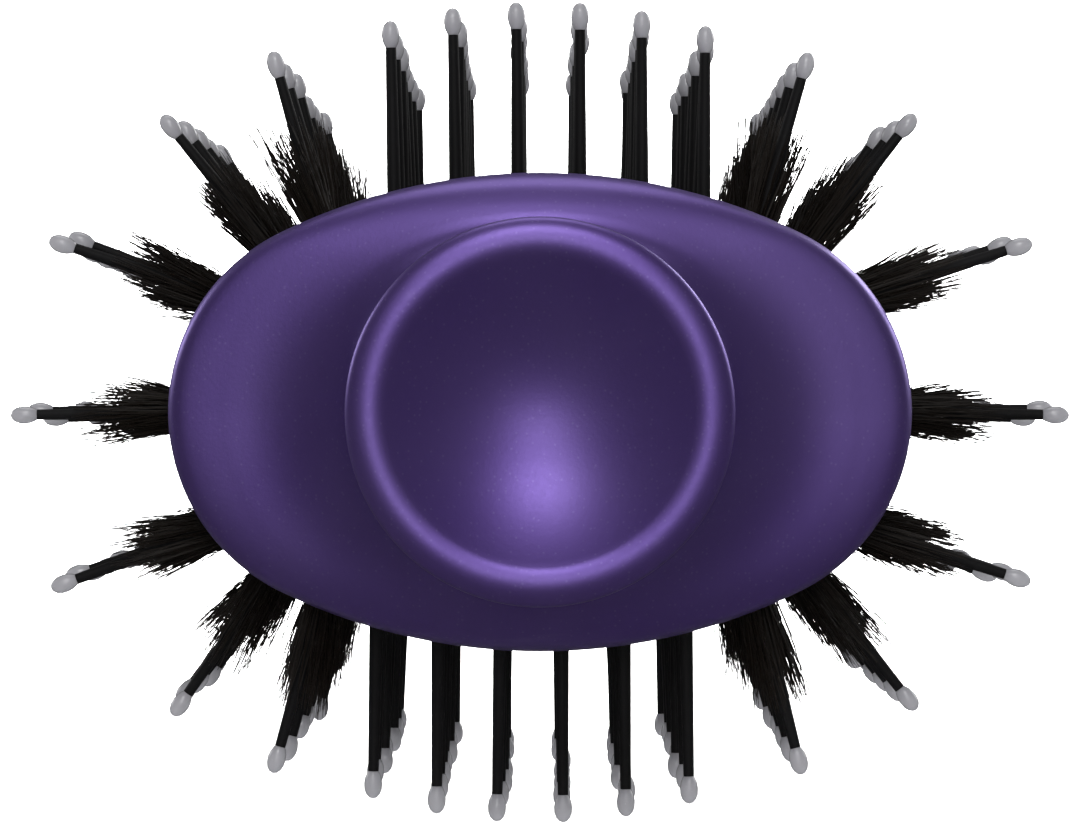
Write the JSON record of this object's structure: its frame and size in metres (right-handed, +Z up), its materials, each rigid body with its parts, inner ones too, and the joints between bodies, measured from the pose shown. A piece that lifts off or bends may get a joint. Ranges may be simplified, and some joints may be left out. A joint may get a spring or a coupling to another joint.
{
  "type": "hot-air brush",
  "caption": "Oval hot-air brush with a flared finger knob at the tip, ball-tipped pins with bristle tufts, a pull-off brush head and a round handle with a turning mode dial.",
  "frame": {"origin": "centre of the overall box in X and Y, at the height of the lowest ball tips", "axes": "+Y along the brush from the finger knob to the cord end, +X across the oval's wide side, +Z up"},
  "size_m": [0.109, 0.3657, 0.083],
  "materials": {
    "cap_satin": "satin purple with a fine grain",
    "collar_satin": "satin purple with a fine grain",
    "dial_satin": "satin purple with a fine grain",
    "shell_soft": "black soft-touch coat",
    "barrel_coat": "dark ceramic coat on aluminium",
    "pin_nylon": "black nylon, slightly glossy",
    "ball_gloss": "grey glossy dipped tips",
    "bristle": "black bristle bundles",
    "inner_nylon": "black glass-filled nylon",
    "screw_steel": "zinc-plated steel",
    "spring_steel": "spring steel",
    "shield_alu": "thin aluminium sheet",
    "mica": "mica board",
    "heater_wire": "oxidised resistance wire",
    "motor_steel": "zinc-plated steel",
    "fan_plastic": "glass-filled nylon",
    "board": "circuit board with parts",
    "filter_mesh": "fine nylon mesh",
    "swivel_rubber": "black rubber-like gland"
  },
  "bodies": {
    "handle": {"handle_shell_upper": "shell_soft", "handle_shell_lower": "shell_soft", "handle_screws": "screw_steel", "neck_ring": "inner_nylon", "latch_clip": "spring_steel", "heat_shield": "shield_alu", "heater_frame": "mica", "heater_coil": "heater_wire", "thermal_cutout": "inner_nylon", "motor_mount": "inner_nylon", "motor_can": "motor_steel", "switch_board": "board", "tail_sleeve": "inner_nylon", "inlet_grille": "shell_soft", "lint_filter": "filter_mesh", "end_cap": "dial_satin"},
    "brush_head": {"tip_cap": "cap_satin", "cap_screws": "screw_steel", "front_strip_ring": "inner_nylon", "barrel": "barrel_coat", "rear_strip_ring": "inner_nylon", "head_collar": "collar_satin", "pin_strip_top_1": "pin_nylon", "pin_strip_top_2": "pin_nylon", "pin_strip_top_3": "pin_nylon", "pin_strip_top_4": "pin_nylon", "pin_strip_top_5": "pin_nylon", "pin_strip_top_6": "pin_nylon", "pin_strip_bottom_1": "pin_nylon", "pin_strip_bottom_2": "pin_nylon", "pin_strip_bottom_3": "pin_nylon", "pin_strip_bottom_4": "pin_nylon", "pin_strip_bottom_5": "pin_nylon", "pin_strip_bottom_6": "pin_nylon", "bristle_strip_right_1": "pin_nylon", "bristle_strip_right_2": "pin_nylon", "bristle_strip_right_3": "pin_nylon", "bristle_strip_right_4": "pin_nylon", "bristle_strip_right_5": "pin_nylon", "bristle_strip_right_6": "pin_nylon", "bristle_strip_right_7": "pin_nylon", "bristle_strip_left_1": "pin_nylon", "bristle_strip_left_2": "pin_nylon", "bristle_strip_left_3": "pin_nylon", "bristle_strip_left_4": "pin_nylon", "bristle_strip_left_5": "pin_nylon", "bristle_strip_left_6": "pin_nylon", "bristle_strip_left_7": "pin_nylon", "ball_tips_top": "ball_gloss", "ball_tips_bottom": "ball_gloss", "ball_tips_right": "ball_gloss", "ball_tips_left": "ball_gloss", "bristle_tufts_right": "bristle", "bristle_tufts_left": "bristle"},
    "release_button": {"release_button": "dial_satin"},
    "mode_dial": {"mode_dial": "dial_satin"},
    "fan_rotor": {"fan_impeller": "fan_plastic", "motor_shaft": "motor_steel"},
    "cord_swivel": {"cord_swivel": "swivel_rubber"}
  },
  "joints": [
    {"name": "head_release", "type": "slide", "parent": "handle", "child": "brush_head", "axis": [0, -1, 0], "range_m": [0, 0.035]},
    {"name": "release_press", "type": "slide", "parent": "handle", "child": "release_button", "axis": [0, 0, -1], "range_m": [0, 0.0014], "stiffness_N_per_m": 800, "deforming": ["latch_clip"]},
    {"name": "dial_turn", "type": "hinge", "parent": "handle", "child": "mode_dial", "pos_m": [0, 0.1415, 0.0415], "axis": [0, 1, 0], "range_deg": [0, 90]},
    {"name": "fan_spin", "type": "hinge", "parent": "handle", "child": "fan_rotor", "pos_m": [0, 0.01415, 0.0415], "axis": [0, 1, 0], "continuous": true},
    {"name": "cord_swivel_turn", "type": "hinge", "parent": "handle", "child": "cord_swivel", "pos_m": [0, 0.16985, 0.0415], "axis": [0, 1, 0], "continuous": true}
  ]
}
